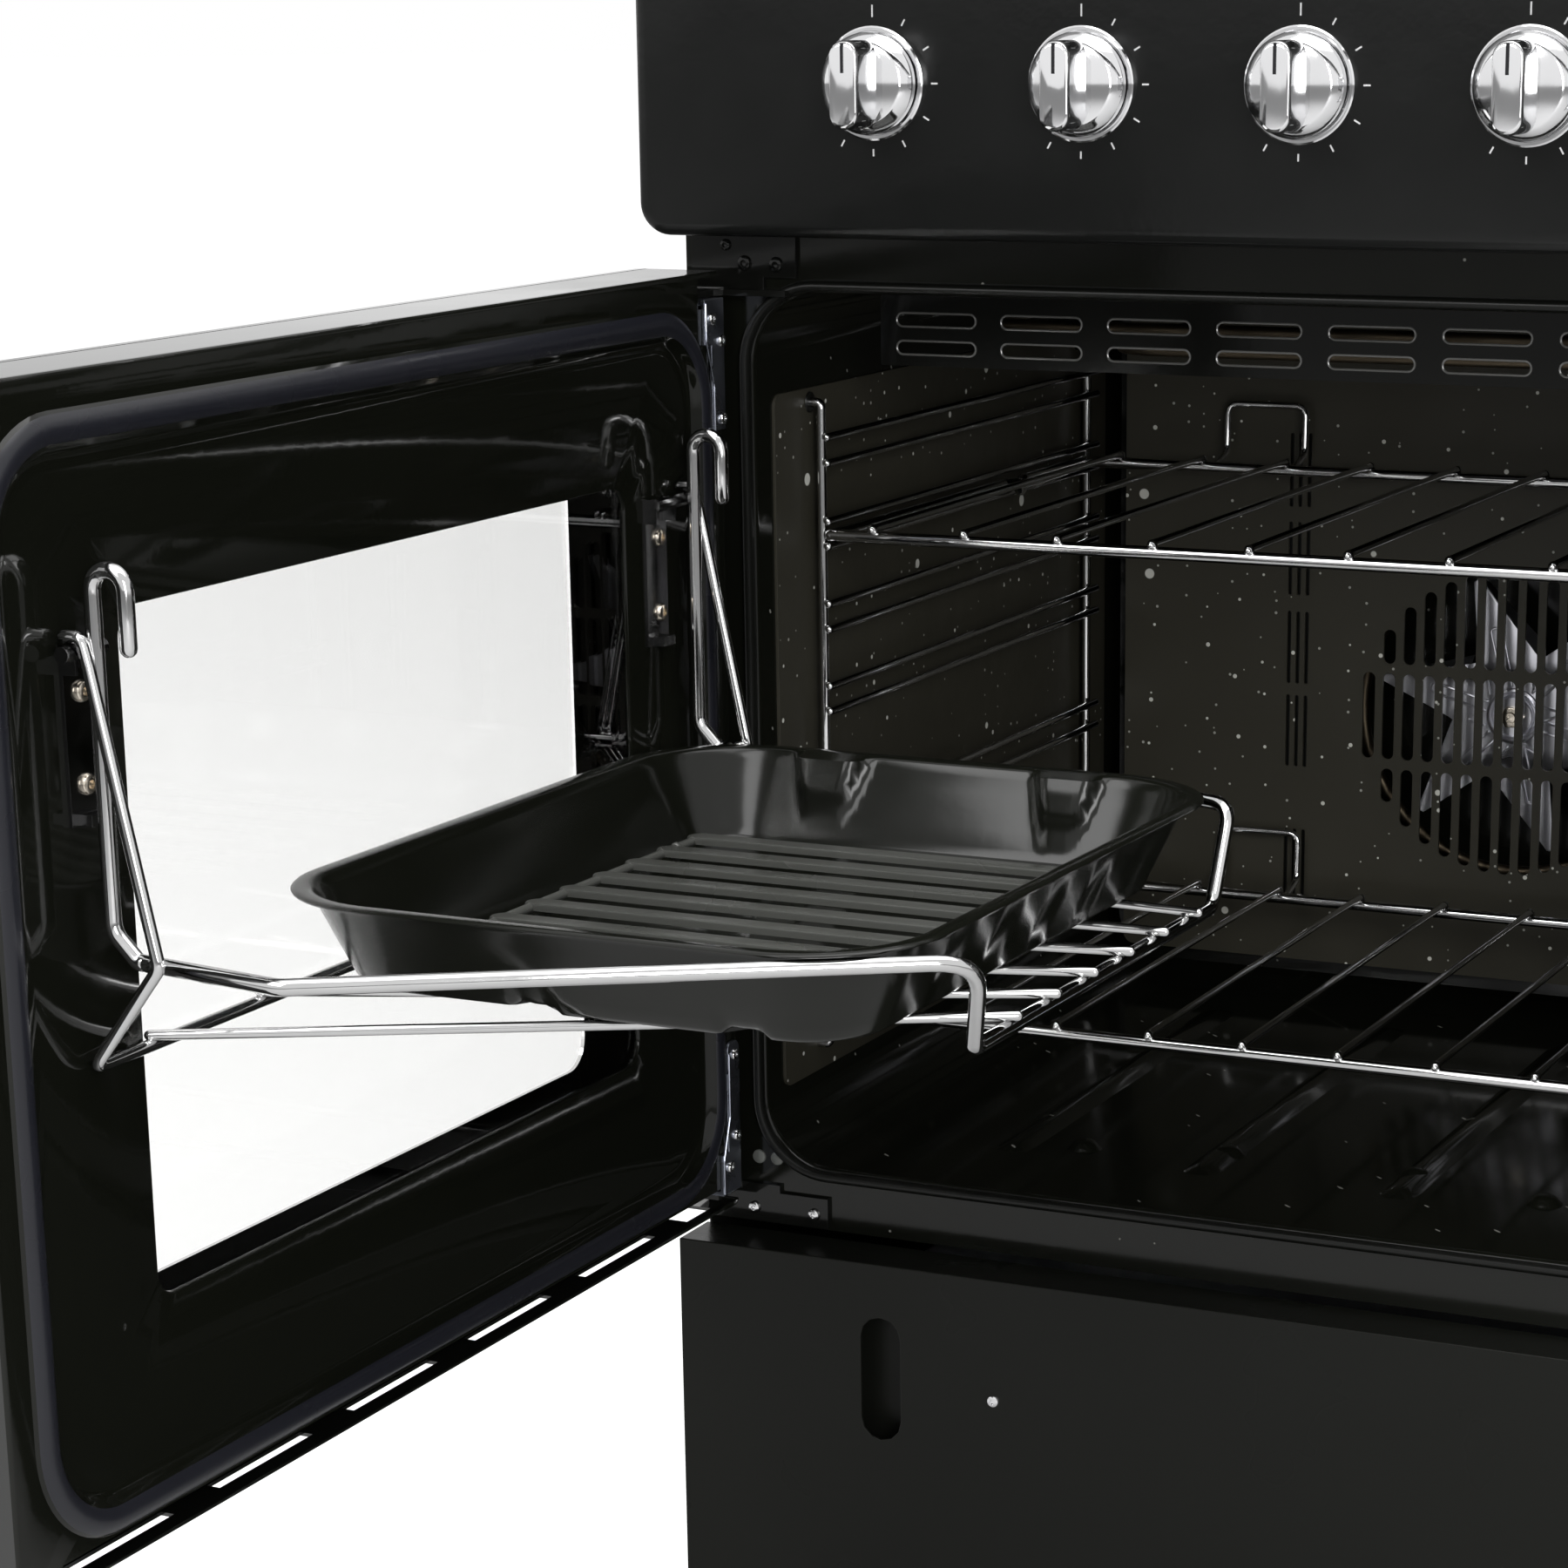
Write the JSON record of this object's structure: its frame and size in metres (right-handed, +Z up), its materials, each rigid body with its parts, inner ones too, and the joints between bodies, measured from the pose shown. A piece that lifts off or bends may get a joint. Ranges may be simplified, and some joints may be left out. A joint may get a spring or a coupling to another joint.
{
  "type": "range cooker",
  "caption": "Wide freestanding gas range cooker with two side-hung ovens side by side, a hob with cast pan supports, a storage drawer and a wire roasting rack on the left door.",
  "frame": {"origin": "on the floor, midway between the sides and midway between the oven front frame and the back panel", "axes": "+X to the right seen from the front, +Y to the back, +Z up"},
  "size_m": [1.1791, 1.1312, 0.941],
  "materials": {
    "body_enamel": "satin",
    "hob_enamel": "gloss",
    "galvanised": "matt",
    "foot_steel": "satin",
    "burner_alloy": "satin",
    "cap_enamel": "matt",
    "cast_iron": "matt",
    "knob_chrome": "polished",
    "clock_plastic": "gloss",
    "button_plastic": "matt",
    "cavity_enamel": "gloss speckled",
    "liner_coating": "matt speckled",
    "seal_rubber": "matt",
    "element_metal": "matt",
    "fan_metal": "satin",
    "wire_chrome": "bright",
    "zinc_plate": "satin",
    "gas_brass": "satin",
    "door_enamel": "gloss",
    "door_glass": "gloss",
    "tin_enamel": "gloss speckled"
  },
  "bodies": {
    "cooker": {"side_panels": "body_enamel", "back_panel": "galvanised", "base_tray": "galvanised", "plinth": "body_enamel", "levelling_feet": "foot_steel", "hob_tray": "hob_enamel", "burner_cups": "burner_alloy", "burner_crowns": "burner_alloy", "burner_caps": "cap_enamel", "control_panel": "body_enamel", "clock_module": "clock_plastic", "hand_rail": "knob_chrome", "oven_cavity_left": "cavity_enamel", "oven_cavity_right": "cavity_enamel", "oven_seals": "seal_rubber", "oven_side_liners": "liner_coating", "oven_back_panel": "liner_coating", "vent_cover": "cavity_enamel", "grill_element": "element_metal", "roof_element_right": "element_metal", "fan_element": "element_metal", "fan_motor": "fan_metal", "shelf_ladders": "wire_chrome", "hinge_brackets": "body_enamel", "control_gear": "gas_brass", "drawer_runners": "galvanised"},
    "pan_support_left": {"pan_support_left": "cast_iron"},
    "pan_support_centre": {"pan_support_centre": "cast_iron"},
    "pan_support_right": {"pan_support_right": "cast_iron"},
    "knob_1": {"knob_1": "knob_chrome"},
    "knob_2": {"knob_2": "knob_chrome"},
    "knob_3": {"knob_3": "knob_chrome"},
    "knob_4": {"knob_4": "knob_chrome"},
    "knob_5": {"knob_5": "knob_chrome"},
    "knob_6": {"knob_6": "knob_chrome"},
    "knob_7": {"knob_7": "knob_chrome"},
    "knob_8": {"knob_8": "knob_chrome"},
    "clock_button_1": {"clock_button_1": "button_plastic"},
    "clock_button_2": {"clock_button_2": "button_plastic"},
    "clock_button_3": {"clock_button_3": "button_plastic"},
    "fan_impeller": {"fan_impeller": "fan_metal"},
    "shelf_upper": {"shelf_upper": "wire_chrome"},
    "shelf_lower": {"shelf_lower": "wire_chrome"},
    "shelf_right_oven": {"shelf_right_oven": "wire_chrome"},
    "door_left": {"door_left_skin": "door_enamel", "door_left_inner": "door_enamel", "door_left_glazing": "door_glass", "door_left_handle": "knob_chrome", "door_left_hinge_straps": "zinc_plate", "rack_brackets": "zinc_plate"},
    "door_right": {"door_right_skin": "door_enamel", "door_right_inner": "door_enamel", "door_right_glazing": "door_glass", "door_right_handle": "knob_chrome", "door_right_hinge_straps": "zinc_plate"},
    "door_rack": {"door_rack": "wire_chrome"},
    "roasting_tin": {"roasting_tin": "tin_enamel"},
    "tin_grid": {"tin_grid": "wire_chrome"},
    "drawer": {"drawer_front": "body_enamel", "drawer_box": "galvanised"}
  },
  "joints": [
    {"name": "pan_support_left_lift", "type": "slide", "parent": "cooker", "child": "pan_support_left", "axis": [0, 0, 1], "range_m": [0, 0.12]},
    {"name": "pan_support_centre_lift", "type": "slide", "parent": "cooker", "child": "pan_support_centre", "axis": [0, 0, 1], "range_m": [0, 0.12]},
    {"name": "pan_support_right_lift", "type": "slide", "parent": "cooker", "child": "pan_support_right", "axis": [0, 0, 1], "range_m": [0, 0.12]},
    {"name": "knob_1_turn", "type": "hinge", "parent": "cooker", "child": "knob_1", "pos_m": [-0.435, -0.325, 0.802], "axis": [0, -1, 0], "range_deg": [0, 210]},
    {"name": "knob_2_turn", "type": "hinge", "parent": "cooker", "child": "knob_2", "pos_m": [-0.34, -0.325, 0.802], "axis": [0, -1, 0], "range_deg": [0, 210]},
    {"name": "knob_3_turn", "type": "hinge", "parent": "cooker", "child": "knob_3", "pos_m": [-0.245, -0.325, 0.802], "axis": [0, -1, 0], "range_deg": [0, 210]},
    {"name": "knob_4_turn", "type": "hinge", "parent": "cooker", "child": "knob_4", "pos_m": [-0.15, -0.325, 0.802], "axis": [0, -1, 0], "range_deg": [-270, 0]},
    {"name": "knob_5_turn", "type": "hinge", "parent": "cooker", "child": "knob_5", "pos_m": [0.15, -0.325, 0.802], "axis": [0, -1, 0], "range_deg": [-270, 0]},
    {"name": "knob_6_turn", "type": "hinge", "parent": "cooker", "child": "knob_6", "pos_m": [0.245, -0.325, 0.802], "axis": [0, -1, 0], "range_deg": [0, 210]},
    {"name": "knob_7_turn", "type": "hinge", "parent": "cooker", "child": "knob_7", "pos_m": [0.34, -0.325, 0.802], "axis": [0, -1, 0], "range_deg": [0, 210]},
    {"name": "knob_8_turn", "type": "hinge", "parent": "cooker", "child": "knob_8", "pos_m": [0.435, -0.325, 0.802], "axis": [0, -1, 0], "range_deg": [-270, 0]},
    {"name": "clock_button_1_press", "type": "slide", "parent": "cooker", "child": "clock_button_1", "axis": [0, 1, 0], "range_m": [0, 0.002], "stiffness_N_per_m": 400},
    {"name": "clock_button_2_press", "type": "slide", "parent": "cooker", "child": "clock_button_2", "axis": [0, 1, 0], "range_m": [0, 0.002], "stiffness_N_per_m": 400},
    {"name": "clock_button_3_press", "type": "slide", "parent": "cooker", "child": "clock_button_3", "axis": [0, 1, 0], "range_m": [0, 0.002], "stiffness_N_per_m": 400},
    {"name": "fan_spin", "type": "hinge", "parent": "cooker", "child": "fan_impeller", "pos_m": [-0.275, 0.12, 0.4682], "axis": [0, 1, 0], "continuous": true},
    {"name": "shelf_upper_slide", "type": "slide", "parent": "cooker", "child": "shelf_upper", "axis": [0, -1, 0], "range_m": [0, 0.3]},
    {"name": "shelf_lower_slide", "type": "slide", "parent": "cooker", "child": "shelf_lower", "axis": [0, -1, 0], "range_m": [0, 0.3]},
    {"name": "shelf_right_oven_slide", "type": "slide", "parent": "cooker", "child": "shelf_right_oven", "axis": [0, -1, 0], "range_m": [0, 0.04]},
    {"name": "door_left_hinge", "type": "hinge", "parent": "cooker", "child": "door_left", "pos_m": [-0.53835, -0.2981, 0.5], "axis": [0, 0, -1], "range_deg": [-90.7, 15]},
    {"name": "door_right_hinge", "type": "hinge", "parent": "cooker", "child": "door_right", "pos_m": [0.53835, -0.2981, 0.5], "axis": [0, 0, 1], "range_deg": [0, 105]},
    {"name": "door_rack_lift", "type": "slide", "parent": "door_left", "child": "door_rack", "axis": [0, 0, 1], "range_m": [0, 0.02]},
    {"name": "roasting_tin_lift", "type": "slide", "parent": "door_rack", "child": "roasting_tin", "axis": [0, 0, 1], "range_m": [0, 0.045]},
    {"name": "tin_grid_lift", "type": "slide", "parent": "roasting_tin", "child": "tin_grid", "axis": [0, 0, 1], "range_m": [0, 0.06]},
    {"name": "drawer_slide", "type": "slide", "parent": "cooker", "child": "drawer", "axis": [0, -1, 0], "range_m": [0, 0.38]}
  ]
}
